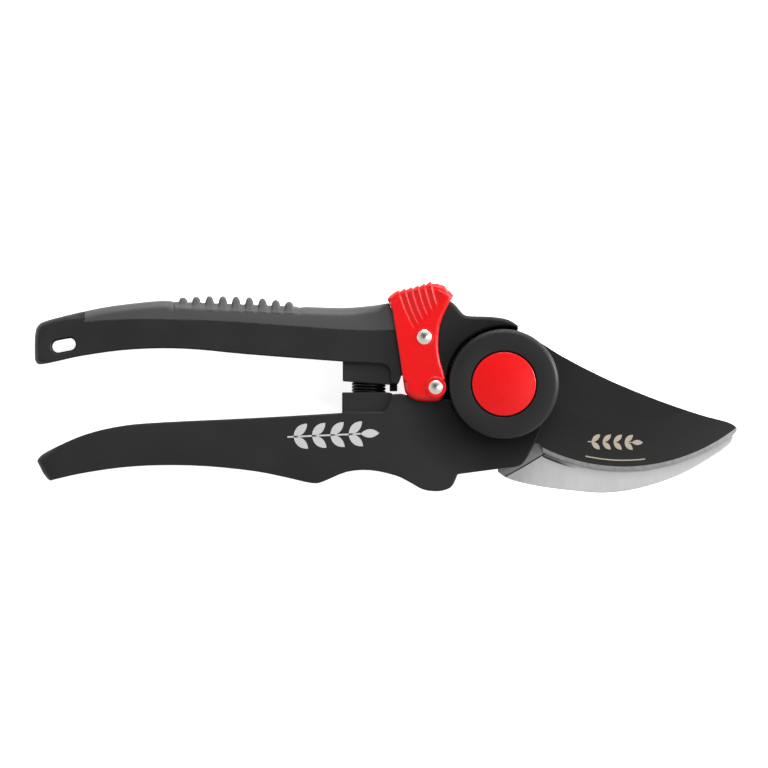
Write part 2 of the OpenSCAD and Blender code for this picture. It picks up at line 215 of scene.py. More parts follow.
def grid_surface(f, low, high, step):
    """Closed surface f = 0 over a box, as points and quads, one point per crossed cell."""
    axes = [np.arange(a - 2 * step, b + 3 * step, step) for a, b in zip(low, high)]
    values = np.concatenate([f(*np.meshgrid(part, axes[1], axes[2], indexing="ij"))
                             for part in np.array_split(axes[0], 12)])
    inside = values < 0
    cells = tuple(n - 1 for n in values.shape)

    def at(grid, offset):
        return grid[tuple(slice(o, o + n) for o, n in zip(offset, cells))]

    count = sum(at(inside, o).astype(np.int8) for o in product((0, 1), repeat=3))
    active = (count > 0) & (count < 8)
    where = np.argwhere(active)
    total, hits = np.zeros((len(where), 3)), np.zeros(len(where))
    for axis in range(3):
        for o in product((0, 1), repeat=2):
            start = np.insert(o, axis, 0)
            end = np.insert(o, axis, 1)
            f0, f1 = at(values, start)[active], at(values, end)[active]
            crossed = (f0 < 0) != (f1 < 0)
            t = np.where(crossed, f0 / np.where(crossed, f0 - f1, 1), 0)
            point = where + start + t[:, None] * (end - start)
            total += point * crossed[:, None]
            hits += crossed
    points = np.array([a[0] for a in axes]) + total / hits[:, None] * step
    index = np.full(cells, -1)
    index[active] = np.arange(len(where))
    quads = []
    for axis in range(3):
        u, v = (axis + 1) % 3, (axis + 2) % 3
        near = [slice(1, -1)] * 3
        near[axis] = slice(0, -1)
        far = list(near)
        far[axis] = slice(1, None)
        a, b = inside[tuple(near)], inside[tuple(far)]
        place = np.argwhere(a != b)
        leaving = a[tuple(place.T)]
        place = place + [0 if k == axis else 1 for k in range(3)]
        ring = []
        for du, dv in ((1, 1), (0, 1), (0, 0), (1, 0)):
            cell = place.copy()
            cell[:, u] -= du
            cell[:, v] -= dv
            ring.append(index[tuple(cell.T)])
        ring = np.stack(ring, 1)
        quads.append(np.where(leaving[:, None], ring, ring[:, ::-1]))
    return points, np.concatenate(quads)


def slope(f, p, e=0.02):
    """Gradient of f at points p."""
    parts = []
    for k in range(3):
        shift = np.zeros(3)
        shift[k] = e
        parts.append((f(*(p + shift).T) - f(*(p - shift).T)) / (2 * e))
    return np.stack(parts, 1)


def settle(f, p, limit, rounds=4):
    """Moves points p onto f = 0."""
    for _ in range(rounds):
        g = slope(f, p)
        move = f(*p.T) / np.maximum((g * g).sum(1), 0.2)
        p = p - np.clip(move, -limit, limit)[:, None] * g
    return p


def add_mesh(name, points, faces, smooth=True):
    """Object from points in mm and faces."""
    mesh = bpy.data.meshes.new(name)
    mesh.from_pydata((np.asarray(points) * MM).tolist(), [],
                     faces.tolist() if isinstance(faces, np.ndarray) else faces)
    mesh.validate()
    mesh.polygons.foreach_set("use_smooth", [smooth] * len(mesh.polygons))
    obj = bpy.data.objects.new(name, mesh)
    bpy.context.scene.collection.objects.link(obj)
    return obj


def moulded(name, f, node, step, keep):
    """Mesh of f over the box of a CAD node, thinned to a share of its faces."""
    low, high = cad(node)
    points, quads = grid_surface(f, low, high, step)
    points = settle(f, points, step / 2)
    rough = add_mesh(name + "_rough", points, quads)
    thin = rough.modifiers.new("thin", "DECIMATE")
    thin.ratio = keep
    mesh = bpy.data.meshes.new_from_object(
        rough.evaluated_get(bpy.context.evaluated_depsgraph_get()))
    bpy.data.objects.remove(rough)
    points = np.array([v.co for v in mesh.vertices]) / MM
    points = np.clip(settle(f, points, step / 2, 2), low, high)
    mesh.vertices.foreach_set("co", (points * MM).ravel())
    normals = slope(f, points, 0.05)
    normals /= np.maximum(np.linalg.norm(normals, axis=1), 1e-9)[:, None]
    mesh.polygons.foreach_set("use_smooth", [True] * len(mesh.polygons))
    mesh.normals_split_custom_set_from_vertices(normals.tolist())
    mesh.update()
    obj = bpy.data.objects.new(name, mesh)
    bpy.context.scene.collection.objects.link(obj)
    return obj


def turned(name, profile, centre=(0, 0), steps=96):
    """Lathed solid from (radius, z) points, first and last on the axis."""
    inner = profile[1:-1]
    angles = np.arange(steps) * 2 * math.pi / steps
    points = [(centre[0], centre[1], profile[0][1]), (centre[0], centre[1], profile[-1][1])]
    for r, z in inner:
        points += [(centre[0] + r * math.cos(a), centre[1] + r * math.sin(a), z)
                   for a in angles]
    faces = []
    last = 2 + (len(inner) - 1) * steps
    for k in range(steps):
        n = (k + 1) % steps
        faces.append((0, 2 + n, 2 + k))
        faces.append((1, last + k, last + n))
        for i in range(len(inner) - 1):
            a = 2 + i * steps
            faces.append((a + k, a + n, a + steps + n, a + steps + k))
    obj = add_mesh(name, np.array(points), faces)
    obj.data.set_sharp_from_angle(angle=math.radians(32))
    return obj


def arc(cx, cz, r, start, end, n=6):
    """(radius, z) points along an arc of a profile."""
    return [(cx + r * math.cos(math.radians(start + (end - start) * i / n)),
             cz + r * math.sin(math.radians(start + (end - start) * i / n)))
            for i in range(n + 1)]


# ---------------------------------------------------------------- materials

def new_material(name):
    """A material with its node tree, its shader and the place on the object."""
    mat = bpy.data.materials.new(name)
    mat.use_nodes = True
    tree = mat.node_tree
    shader = tree.nodes["Principled BSDF"]
    place = tree.nodes.new("ShaderNodeTexCoord").outputs["Object"]
    return mat, tree, shader, place


def noise(tree, place, scale, detail=3.0, stretch=None):
    """Noise over the object, with features of about 1 / scale metres."""
    if stretch:
        mapping = tree.nodes.new("ShaderNodeMapping")
        mapping.inputs["Scale"].default_value = stretch
        tree.links.new(place, mapping.inputs["Vector"])
        place = mapping.outputs["Vector"]
    node = tree.nodes.new("ShaderNodeTexNoise")
    node.inputs["Scale"].default_value = scale
    node.inputs["Detail"].default_value = detail
    tree.links.new(place, node.inputs["Vector"])
    return node.outputs["Fac"]


def spread(tree, value, low, high, out_low, out_high):
    """Maps a value from low..high to out_low..out_high."""
    node = tree.nodes.new("ShaderNodeMapRange")
    for key, number in zip(("From Min", "From Max", "To Min", "To Max"),
                           (low, high, out_low, out_high)):
        node.inputs[key].default_value = number
    tree.links.new(value, node.inputs["Value"])
    return node.outputs["Result"]


def blend_colours(tree, factor, one, other):
    """Mix of two colours, each a tuple or a socket."""
    node = tree.nodes.new("ShaderNodeMix")
    node.data_type = "RGBA"
    tree.links.new(factor, node.inputs["Factor"])
    for key, colour in (("A", one), ("B", other)):
        socket = [s for s in node.inputs if s.name == key and s.type == "RGBA"][0]
        if isinstance(colour, tuple):
            socket.default_value = (*colour, 1)
        else:
            tree.links.new(colour, socket)
    return [s for s in node.outputs if s.type == "RGBA"][0]


def bump(tree, shader, height, strength, distance):
    """Fine relief from a height socket, distance metres deep."""
    node = tree.nodes.new("ShaderNodeBump")
    node.inputs["Strength"].default_value = strength
    node.inputs["Distance"].default_value = distance
    tree.links.new(height, node.inputs["Height"])
    tree.links.new(node.outputs["Normal"], shader.inputs["Normal"])


# Width in mm of the painted shade round the boss.
PAINTED_SHADE_W = 15


def plain(name, colour, rough, metallic=0.0, specular=0.5, grain=2200, depth=0.00003,
          strength=0.25, shift=0.12, painted_shade=0.0):
    """A finish with fine grain, cloudy colour and uneven gloss.

    The last argument darkens the colour next to the boss: painted shade where the boss cover
    keeps the light out.
    """
    mat, tree, shader, place = new_material(name)
    cloud = noise(tree, place, 55, 4)
    fine = noise(tree, place, grain, 3)
    low = tuple(c * (1 - shift) for c in colour)
    high = tuple(min(1, c * (1 + shift)) for c in colour)
    tint = blend_colours(tree, spread(tree, cloud, 0.3, 0.7, 0, 1), low, high)
    # Painted shade: the colour darkens towards the boss, where the boss cover keeps the light
    # out.
    if painted_shade:
        away = spread(tree, distance_from(tree, place, 0, 0), BOSS_R + 0.5, BOSS_R + PAINTED_SHADE_W,
                      0, 1)
        tint = blend_colours(tree, away, tuple(c * (1 - 0.9 * painted_shade) for c in colour), tint)
    tree.links.new(tint, shader.inputs["Base Color"])
    tree.links.new(spread(tree, fine, 0.25, 0.75, rough - 0.05, rough + 0.06),
                   shader.inputs["Roughness"])
    shader.inputs["Metallic"].default_value = metallic
    shader.inputs["Specular IOR Level"].default_value = specular
    bump(tree, shader, fine, strength, depth)
    return mat


def distance_from(tree, place, x, y):
    """Distance in mm from the line through (x, y) along Z."""
    flat = tree.nodes.new("ShaderNodeVectorMath")
    flat.operation = "MULTIPLY"
    flat.inputs[1].default_value = (1 / MM, 1 / MM, 0)
    tree.links.new(place, flat.inputs[0])
    node = tree.nodes.new("ShaderNodeVectorMath")
    node.operation = "DISTANCE"
    node.inputs[1].default_value = (x, y, 0)
    tree.links.new(flat.outputs[0], node.inputs[0])
    return node.outputs["Value"]


def past_line(tree, place, point, normal):
    """Distance in mm past a line, given a point on it and its normal."""
    node = tree.nodes.new("ShaderNodeVectorMath")
    node.operation = "DOT_PRODUCT"
    node.inputs[1].default_value = (normal[0] / MM, normal[1] / MM, 0)
    tree.links.new(place, node.inputs[0])
    return combine(tree, "SUBTRACT", node.outputs["Value"],
                   point[0] * normal[0] + point[1] * normal[1])


def combine(tree, operation, one, other):
    """Math node over two values, each a socket or a number."""
    node = tree.nodes.new("ShaderNodeMath")
    node.operation = operation
    for socket, value in zip(node.inputs, (one, other)):
        if isinstance(value, (int, float)):
            socket.default_value = value
        else:
            tree.links.new(value, socket)
    return node.outputs["Value"]


def narrow(tree, value, centre, half):
    """1 on a line where the value is at the centre, fading to 0 half away."""
    off = combine(tree, "ABSOLUTE", combine(tree, "SUBTRACT", value, centre), 0.0)
    return spread(tree, off, half * 0.4, half, 1, 0)


def coated_blade():
    """Black coat with a faint painted sheen over the grind, a matt tang painted near black as
    shade, and bare steel on the bevel.
    """
    mat, tree, shader, place = new_material("coated_steel")
    radius = distance_from(tree, place, *EDGE_CENTRE)
    bevel = EDGE_R - BEVEL_W
    cloud = noise(tree, place, 70, 4)
    # Painted sheen: the coat is painted lighter from the grind line towards the bevel.
    ground = spread(tree, radius, GRIND_R - 0.5, GRIND_R + 0.5, 0, 1)
    sheen = spread(tree, radius, GRIND_R + 4, bevel, 0, 1)
    painted_grind_sheen = blend_colours(tree, sheen, (0.0063, 0.0063, 0.0062), (0.0108, 0.0105, 0.0101))
    coat = blend_colours(tree, ground, (0.0055, 0.0055, 0.0057), painted_grind_sheen)
    # Painted shade: the tang left of the pivot is painted near black, as shade beside the boss.
    tang = spread(tree, past_line(tree, place, (0, 0), (-1, 0)), -1, 0, 0, 1)
    coat = blend_colours(tree, tang, coat, (0.002, 0.002, 0.002))
    bare = combine(tree, "MULTIPLY", spread(tree, radius, bevel - 0.04, bevel + 0.04, 0, 1),
                   combine(tree, "SUBTRACT", 1.0, tang))
    lines = spread(tree, noise(tree, place, 900, 2, (1, 0.2, 1)), 0.3, 0.7, 0, 1)
    steel = blend_colours(tree, lines, (0.3, 0.3, 0.3), (0.4, 0.4, 0.4))
    tree.links.new(blend_colours(tree, bare, coat, steel), shader.inputs["Base Color"])
    tree.links.new(spread(tree, bare, 0, 1, 0, 0.6), shader.inputs["Metallic"])
    gloss = spread(tree, cloud, 0.3, 0.7, 0.42, 0.5)
    tree.links.new(combine(tree, "MAXIMUM", gloss, spread(tree, tang, 0, 1, 0, 0.9)),
                   shader.inputs["Roughness"])
    shader.inputs["Specular IOR Level"].default_value = 0.4
    bump(tree, shader, noise(tree, place, 2600, 3, (0.35, 1, 1)), 0.2, 0.00002)
    return mat


# The unground ear of the hook ends at these two lines: a point and the normal that points
# to the ground face.
STEPS = (((8.8, -23.07), (0.521, -0.854)), ((3.7, -26.05), (0.48, -0.877)))


def bare_hook():
    """Ground steel, the darker unground ear, painted shade along the step and the groove, and
    painted shadow of the blade above the groove at the heel.
    """
    mat, tree, shader, place = new_material("bare_steel")
    sides = [past_line(tree, place, *step) for step in STEPS]
    ground = combine(tree, "MAXIMUM", *sides)
    is_ground = spread(tree, ground, -0.05, 0.05, 0, 1)
    lines = noise(tree, place, 900, 3, (1.6, 0.25, 1))
    cloud = noise(tree, place, 60, 3)
    face = blend_colours(tree, spread(tree, lines, 0.3, 0.7, 0, 1),
                         (0.53, 0.53, 0.53), (0.565, 0.565, 0.565))
    ear = blend_colours(tree, spread(tree, cloud, 0.3, 0.7, 0, 1),
                        (0.22, 0.22, 0.22), (0.3, 0.3, 0.3))
    colour = blend_colours(tree, is_ground, ear, face)
    radius = distance_from(tree, place, *EDGE_CENTRE)
    along = past_line(tree, place, (0, 0), (1, 0))
    # Painted shadow of the blade: the strip above the groove at the heel is painted darker.
    heel = combine(tree, "MULTIPLY",
                   spread(tree, along, GROOVE_START + 0.5, GROOVE_START + 0.8, 0, 1),
                   spread(tree, along, GROOVE_END - 5, GROOVE_END + 1, 1, 0))
    above_groove = spread(tree, radius, GROOVE_R, GROOVE_R + 0.1, 1, 0)
    colour = blend_colours(tree, combine(tree, "MULTIPLY", heel, above_groove), colour,
                           (0.22, 0.22, 0.22))
    # Painted shade: dark lines along the groove and along the step.
    groove_edge = combine(tree, "MULTIPLY", heel, narrow(tree, radius, GROOVE_R, 0.32))
    step_edge = narrow(tree, ground, -0.02, 0.3)
    painted_line_shade = combine(tree, "MAXIMUM", groove_edge, step_edge)
    tree.links.new(blend_colours(tree, painted_line_shade, colour, (0.012, 0.012, 0.012)),
                   shader.inputs["Base Color"])
    tree.links.new(spread(tree, lines, 0.3, 0.7, 0.42, 0.5), shader.inputs["Roughness"])
    shader.inputs["Metallic"].default_value = 0.5
    bump(tree, shader, lines, 0.1, 0.00002)
    return mat


HANDLE_NYLON = (0.0172, 0.0172, 0.0174)
BLACK = plain("black_nylon", (0.0132, 0.0132, 0.0134), 0.46, specular=0.27)
# Handle nylon with painted shade next to the boss: full on the lower handle, weaker on the
# upper.
SHADED = plain("black_nylon", HANDLE_NYLON, 0.46, specular=0.19, painted_shade=1.05)
HALF_SHADED = plain("black_nylon", HANDLE_NYLON, 0.46, specular=0.19, painted_shade=0.75)
GRIP = plain("grey_soft", (0.040, 0.040, 0.041), 0.5, specular=0.6, grain=1600,
             depth=0.00004, shift=0.06)
RED = plain("red_plastic", (0.59, 0.003, 0.004), 0.34, specular=0.4, grain=900,
            depth=0.00002, strength=0.12, shift=0.03)
COATED = coated_blade()
STEEL = bare_hook()
ZINC = plain("zinc_steel", (0.62, 0.62, 0.6), 0.35, metallic=1, grain=1500)
SPRING = plain("spring_steel", (0.004, 0.004, 0.004), 0.4, specular=0.4, grain=3000)
BRONZE = plain("bronze", (0.42, 0.28, 0.12), 0.45, metallic=1, grain=2500)
NICKEL = plain("nickel", (0.93, 0.87, 0.78), 0.27, metallic=1, grain=1200, strength=0.05,
               shift=0.03)
RUBBER = plain("black_rubber", (0.003, 0.003, 0.003), 0.75, specular=0.1)
PRINT = plain("pale_print", (0.42, 0.42, 0.42), 0.55, grain=2000, strength=0.1, shift=0.05)
ETCH = plain("etched_mark", (0.36, 0.31, 0.25), 0.5, grain=2600, shift=0.1)

for node, finish in {
    "pivot_bolt": ZINC, "pivot_nut": ZINC, "spring_washer": ZINC, "rear_washer": ZINC,
    "front_washer": ZINC, "pivot_bush": BRONZE, "lever_bush": BRONZE,
    "stop_bumper": RUBBER,
}.items():
    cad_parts[node].data.materials.clear()
    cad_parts[node].data.materials.append(finish)


def place_piece(obj, body, material, replaces=()):
    """Gives a piece its finish, its CAD body and the nodes that it stands for."""
    obj.data.materials.append(material)
    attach(obj, body)
    if replaces:
        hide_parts(*replaces)
    return obj


# ---------------------------------------------------------------- upper handle and grip

upper_front = cad_section("upper_handle", SECTION_FRONT)
upper_rear = cad_section("upper_handle", SECTION_REAR)
grip_front = cad_section("soft_grip", SECTION_FRONT)
grip_rear = cad_section("soft_grip", SECTION_REAR)
skin_front = joined(upper_front, grip_front)
skin_rear = joined(upper_rear, grip_rear)
grip_outline = Outline(grip_front)
core_outline = Outline(upper_front)
hook_outline = Outline(cad_section("hook_blade", HOOK_Z + 1.003))
blade_outline = Outline(cad_section("cutting_blade", BLADE_Z + 0.203))

BLOCK_IN = 1.2
GRIP_T = 1.8
POCKET_R = 5.6
SPRING_X = float((cad("return_spring")[0] + cad("return_spring")[1])[0] / 2)
SPRING_LOW, SPRING_HIGH = cad("return_spring")[0][1], cad("return_spring")[1][1]
SLOT = np.array([-132.1, 11.6])
SLOT_AXIS = (math.cos(math.radians(11)), math.sin(math.radians(11)))
SLOT_REACH, SLOT_HALF = 1.8, 2.1
UPPER_BLOCK = Outline(loop([(-56, -8), (-56, 6.9), (-36.8, 6.15), (-35.3, 5.6),
                            (-34.3, 4.6), (-33.9, 3.2), (-33.9, -8)]), pad=12)
LOWER_BLOCK = Outline(loop([(-56, 6), (-56, -8.6), (-36.4, -8.3), (-35.2, -7.5),
                            (-34.2, -5.2), (-33.7, -2.6), (-33.7, 6)]), pad=12)


def set_back(f, x, y, z, region):
    """Sets the faces of f back over a spring block."""
    outside = np.abs(z - MID_Z) - HALF_Z + BLOCK_IN
    return -merge(-f, -np.minimum(outside, -region(x, y)), 0.25)


def crowned(front, rear, z, split, r_front, r_rear, drop):
    """Two-layer handle: its front and rear outlines meet at height split.

    drop lowers both faces, which gives the handle a crown.
    """
    high, low = z - FRONT_Z + drop, REAR_Z - z + drop
    whole = np.maximum(front, rear)
    both = np.maximum(corner(whole, high, r_front), corner(whole, low, r_rear))
    fore = np.maximum(corner(front, high, r_front), split - z)
    back = np.maximum(corner(rear, low, r_rear), z - split)
    return np.minimum(np.minimum(fore, back), both)


def hub_limit(x, y, at_hub):
    """Largest edge rounding next to the hub, growing away from it."""
    return at_hub + np.maximum(np.hypot(x, y) - HUB_GAP_R - at_hub, 0)


def upper_edge(x, y):
    """Rounding of the upper handle's long edges: wide on top and on the nose."""
    on_top = ramp(y, 12, 17) * ramp(-x, 35, 38)
    horn = 0.7 * ramp(y, 15, 18) * ramp(x, -16, -12)
    wide = 0.55 + 2.1 * np.maximum(on_top, ramp(-x, 136, 139.5)) + horn
    slot = 0.4 + 0.5 * np.maximum(np.hypot(x - SLOT[0], y - SLOT[1]) - 5.2, 0)
    return np.minimum(wide, slot)


def upper_skin(x, y, z, ribs_off):
    """Whole upper handle with the grip, as one skin."""
    front, rear = skin_front(x, y), skin_rear(x, y)
    if ribs_off:
        lift = ramp(x, RIB_ZONE[0], RIB_ZONE[0] + 0.3) * ramp(y, 17, 23) \
            * (1 - ramp(x, RIB_ZONE[1] - 0.3, RIB_ZONE[1]))
        valley = y - rib_valley(x)
        front, rear = [edge + (valley - edge) * lift for edge in (front, rear)]
    r = upper_edge(x, y)
    tall = (0.3 + 0.7 * ramp(x, -112, -70)) * ramp(-x, 35.5, 45)
    drop = tall * np.clip(1 + front / 6.5, 0, 1) ** 2 * ramp(y, 11, 17)
    near_hub = ramp(-(x + 0.55 * y), 14, 18)
    front_r = np.minimum(np.maximum(r, 1.3 * (1 - near_hub)), hub_limit(x, y, 1.3))
    rear_r = np.minimum(r, hub_limit(x, y, 0.4))
    f = crowned(front, rear, z, BLADE_Z - SPLIT_GAP, front_r, rear_r, drop)
    return set_back(f, x, y, z, UPPER_BLOCK)


def spring_hole(x, y, z, low, high):
    """Pocket for the return spring, along Y from low to high."""
    bore = np.hypot(x - SPRING_X, z - MID_Z) - POCKET_R
    return np.maximum(bore, np.maximum(low - y, y - high))


def grip_core(x, y, z):
    """Hard core under the soft grip."""
    inner = skin_front(x, y) + GRIP_T
    core = plate(inner, z, REAR_Z + GRIP_T, FRONT_Z - GRIP_T, 1, 1)
    return np.maximum(core, grip_outline(x, y) - 0.3)


def slot_lip(x, y, z):
    """Low lip halfway down the wall of the hang slot."""
    along = (x - SLOT[0]) * SLOT_AXIS[0] + (y - SLOT[1]) * SLOT_AXIS[1]
    aside = (y - SLOT[1]) * SLOT_AXIS[0] - (x - SLOT[0]) * SLOT_AXIS[1]
    wall = np.hypot(np.maximum(np.abs(along) - SLOT_REACH, 0), aside) - SLOT_HALF
    return plate(np.maximum(wall - 0.6, -wall - 0.3), z, REAR_Z + 2.5, FRONT_Z - 2.5, 0.2, 0.2)


def upper_handle(x, y, z):
    """Black body of the upper handle, with the core that the soft grip covers."""
    f = upper_skin(x, y, z, False)
    f = corner(f, -grip_outline(x, y) - SEAM, 0.05)
    f = np.maximum(f, -plate(hook_outline(x, y), z, HOOK_Z, HOOK_TOP + 0.1, 0.05, 0.05))
    f = np.minimum(f, grip_core(x, y, z))
    f = np.minimum(f, slot_lip(x, y, z))
    return np.maximum(f, -spring_hole(x, y, z, -6, SPRING_HIGH))


RIB_IN, RIB_LEAN, RIB_ROUND, RIB_FOOT = 0.85, 0.4, 0.75, 2.2


def rib_valley(x):
    """Height in Y of the grip's top between two ribs."""
    return RIB_BASE - 0.04 * (x - RIB_ZONE[0])


def rib_top(i):
    """Height in Y of the tip of rib i: the third and fourth stand highest."""
    return 26.4 - 0.058 * (i - 2.6) ** 2


def rib_face(x, y, i):
    """Outline of a rib seen from the front: an arch on a foot that widens."""
    centre = RIB_FIRST_X + i * RIB_PITCH
    foot = rib_valley(centre) - 0.1
    dx, dy = x - centre, y - foot
    tall = rib_top(i) - foot
    size = np.hypot(dx / RIB_HALF, dy / tall)
    steep = np.hypot(dx / RIB_HALF ** 2, dy / tall ** 2)
    arch = size * (size - 1) / np.maximum(steep, 0.05)
    return np.where(dy > 0, arch, np.abs(dx) - RIB_HALF + 0.15 * dy)


def soft_grip(x, y, z):
    """Grey grip, with thumb ribs whose faces lean back as they rise."""
    f = upper_skin(x, y, z, True)
    f = corner(f, -core_outline(x, y) - SEAM, 0.05)
    side = np.abs(z - MID_Z) - HALF_Z
    i = np.clip(np.round((x - RIB_FIRST_X) / RIB_PITCH), 0, RIB_COUNT - 1)
    up = y - rib_valley(x)
    rib = corner(side + RIB_IN + RIB_LEAN * (up + 1), rib_face(x, y, i), RIB_ROUND)
    f = merge(f, np.maximum(rib, -RIB_FOOT - up), 0.3)
    return np.maximum(f, -grip_core(x, y, z))


# ---------------------------------------------------------------- lower handle

lower_front = Outline(cad_section("lower_handle", SECTION_FRONT))
lower_rear = Outline(cad_section("lower_handle", SECTION_REAR))


def lower_handle(x, y, z):
    """Lower handle, with the seat of the blade and the lower spring pocket."""
    front, rear = lower_front(x, y), lower_rear(x, y)
    r = 0.5 + 1.6 * ramp(-x, 133, 138)
    drop = 0.3 * ramp(-x, 30, 70) * np.clip(1 + front / 6, 0, 1) ** 2
    f = crowned(front, rear, z, BLADE_Z + 0.05, r, np.minimum(r, hub_limit(x, y, 0.4)), drop)
    f = set_back(f, x, y, z, LOWER_BLOCK)
    f = np.maximum(f, -plate(blade_outline(x, y), z, BLADE_Z - 0.1, BLADE_TOP, 0.05, 0.05))
    return np.maximum(f, -spring_hole(x, y, z, SPRING_LOW, 4))


# ---------------------------------------------------------------- lock lever

cheek = Outline(cad_section("lock_lever", LEVER_HIGH - 0.503))
crown = Outline(cad_section("lock_lever", MID_Z + 0.003))
RIDGES, RIDGE_STEP, RIDGE_DEPTH = 5, 2.03, 0.5
# Rings round the rivet and the lock pin: centre, radius and how far they stand out.
RINGS = ((LEVER_PIVOT, 2.75, 0.08), (LOCK_PIN, 3.15, 0.25))


def ridge_number(x, y):
    """Number of the thumb ridge at a point, whole at each ridge's steep side."""
    s = 28.1 - y
    return (x + 31.3 - 0.223 * s - 0.0153 * s * s) / RIDGE_STEP


def saw(u):
    """Height of a ridge, from 0 to 1, across its number: a slow rise and a steep fall."""
    part = u - np.floor(u)
    return part / 0.8 * (1 - ramp(part, 0.76, 1.0))


def lock_lever(x, y, z):
    """Two cheeks joined by the thumb head, which has ridges on its face and its rim."""
    to_rings = [np.hypot(x - at[0], y - at[1]) for at, _, _ in RINGS]
    d = np.where(np.minimum(*to_rings) < 3, -3, cheek(x, y))
    on_head = ramp(to_rings[0], 13.8, 14.8)
    r = 0.6 + 0.4 * ramp(x, -26, -20) + on_head * (1.4 + 0.8 * ramp(x, -22, -18))
    near = plate(d, z, LEVER_LOW, LEVER_LOW + CHEEK_T, r, 0.2)
    far = plate(d, z, LEVER_HIGH - CHEEK_T, LEVER_HIGH, 0.2, r)
    top = plate(crown(x, y), z, LEVER_LOW, LEVER_HIGH, r, r)
    f = merge(np.minimum(near, far), top, 0.6)
    u = ridge_number(x, y)
    started = ramp(u, -0.25, 0.0)
    tooth = np.where(u > RIDGES, 0, saw(u))
    on_face = ramp(y - x, 42.6, 46.4) * started * (1 - ramp(u, RIDGES, RIDGES + 1.4))
    on_rim = ramp(d, -1.1, -0.4) * started * (1 - ramp(u, RIDGES + 2, RIDGES + 2.7)) \
        * (1 - 0.4 * ramp(u, RIDGES, RIDGES + 1)) * ramp(y, 24.5, 26)
    f = f + RIDGE_DEPTH * np.maximum((1 - tooth) * on_face, (1 - saw(u)) * on_rim)
    for distance, (_, radius, rise) in zip(to_rings, RINGS):
        ring = plate(distance - radius, z, LEVER_LOW - rise, LEVER_HIGH + rise, 0.25, 0.25)
        ring = np.maximum(ring, LEVER_HIGH - 1 - MID_Z - np.abs(z - MID_Z))
        f = merge(f, ring, 0.15)
    return f


# ---------------------------------------------------------------- blades

BOSS_FLAT_R = 15.5
STEP_DEPTH, GROOVE_DEPTH = 0.28, 0.45


def blade_top(x, y):
    """Height of the cutting blade's front face: flat, wide grind, then the bevel."""
    radius = np.hypot(x - EDGE_CENTRE[0], y - EDGE_CENTRE[1])
    start = EDGE_R - BEVEL_W
    fall = (BLADE_TOP - BLADE_Z - BEVEL_T) / (start - GRIND_R)
    wide = BLADE_TOP - (radius - GRIND_R) * fall
    fine = BLADE_Z + EDGE_T + (EDGE_R - radius) * (BEVEL_T - EDGE_T) / BEVEL_W
    top = np.minimum(np.minimum(wide, fine), BLADE_TOP)
    return np.where((np.hypot(x, y) < BOSS_FLAT_R) | (x < 0), BLADE_TOP, top)


def cutting_blade(x, y, z):
    """Cutting blade with its tang."""
    top = blade_top(x, y)
    return np.maximum(corner(blade_outline(x, y), (z - top) * 0.95, 0.1), BLADE_Z - z)


def ground_side(x, y):
    """Distance into the ground face of the hook, negative over the ear."""
    one, two = [(x - p[0]) * n[0] + (y - p[1]) * n[1] for p, n in STEPS]
    return np.maximum(one, two)


def hook_blade(x, y, z):
    """Hook with the step down to its ground face and the groove along the cutting edge."""
    d = hook_outline(x, y)
    radius = np.hypot(x - EDGE_CENTRE[0], y - EDGE_CENTRE[1])
    step = STEP_DEPTH * ramp(ground_side(x, y), -0.12, 0.12) * ramp(x, -1, 1)
    groove = GROOVE_DEPTH * (1 - ramp(np.abs(radius - GROOVE_R + 0.5), 0.3, 0.55)) \
        * ramp(x, GROOVE_START, GROOVE_START + 1) \
        * (1 - ramp(x, GROOVE_END - 5, GROOVE_END + 1))
    return np.maximum(corner(d, z - HOOK_TOP + np.maximum(step, groove), 0.4),
                      corner(d, HOOK_Z - z, 0.4))


# Piece, field, CAD node, grid step, share of faces kept, body, finish.
MOULDED = [
    ("upper_handle_body", upper_handle, "upper_handle", 0.4, 0.3, "hook_side", HALF_SHADED),
    ("soft_grip_skin", soft_grip, "soft_grip", 0.3, 0.4, "hook_side", GRIP),
    ("lower_handle_body", lower_handle, "lower_handle", 0.4, 0.3, "blade_side", SHADED),
    ("lock_lever_saddle", lock_lever, "lock_lever", 0.2, 0.35, "lever", RED),
    ("cutting_blade_ground", cutting_blade, "cutting_blade", 0.26, 0.25, "blade_side", COATED),
    ("hook_blade_ground", hook_blade, "hook_blade", 0.3, 0.25, "hook_side", STEEL),
]
COARSE = 1.0
for name, field, node, step, keep, body, material in MOULDED:
    piece = moulded(name, field, node, step * COARSE, keep)
    place_piece(piece, body, material, [node])


# ---------------------------------------------------------------- turned parts

RIM_R, LIP_R = 1.5, 0.2
SEAT_GAP, SEAT_IN = 0.45, 0.4
SEAT_GROOVE, SEAT_DEPTH = 1.9, 1.0


def boss_profile(outer, top, base):
    """Boss cover with a rounded rim, and a dark ring groove round the cap's seat."""
    return ([(0, base), (outer, base)]
            + arc(outer - RIM_R, top - RIM_R, RIM_R, 0, 84, 8)
            + arc(CAP_R + SEAT_GAP + LIP_R, top - LIP_R, LIP_R, 90, 180, 3)
            + [(CAP_R + SEAT_GAP, top - SEAT_GROOVE), (CAP_R - SEAT_IN, top - SEAT_GROOVE),
               (CAP_R - SEAT_IN, top - SEAT_DEPTH), (0, top - SEAT_DEPTH)])


def flipped(profile, top):
    """The same profile facing the rear, from height 0."""
    return [(r, top - z) for r, z in profile][::-1]


front_cover = turned("front_boss_cover_rim", boss_profile(BOSS_R, COVER_TOP, FRONT_Z),
                     steps=128)
place_piece(front_cover, "blade_side", BLACK, ["front_boss_cover"])
rear_cover = turned("rear_boss_cover_rim",
                    flipped(boss_profile(BOSS_R, REAR_Z, 0.0), REAR_Z), steps=128)
place_piece(rear_cover, "hook_side", BLACK, ["rear_boss_cover"])

DOME_R = 76.0
CAP_EDGE, BACK_EDGE, BACK_CAP_T = 0.3, 0.4, 1.2


def dome_height(r):
    """Height of the front cap's dome at a radius."""
    return CAP_TOP - DOME_R + math.sqrt(DOME_R ** 2 - r * r)


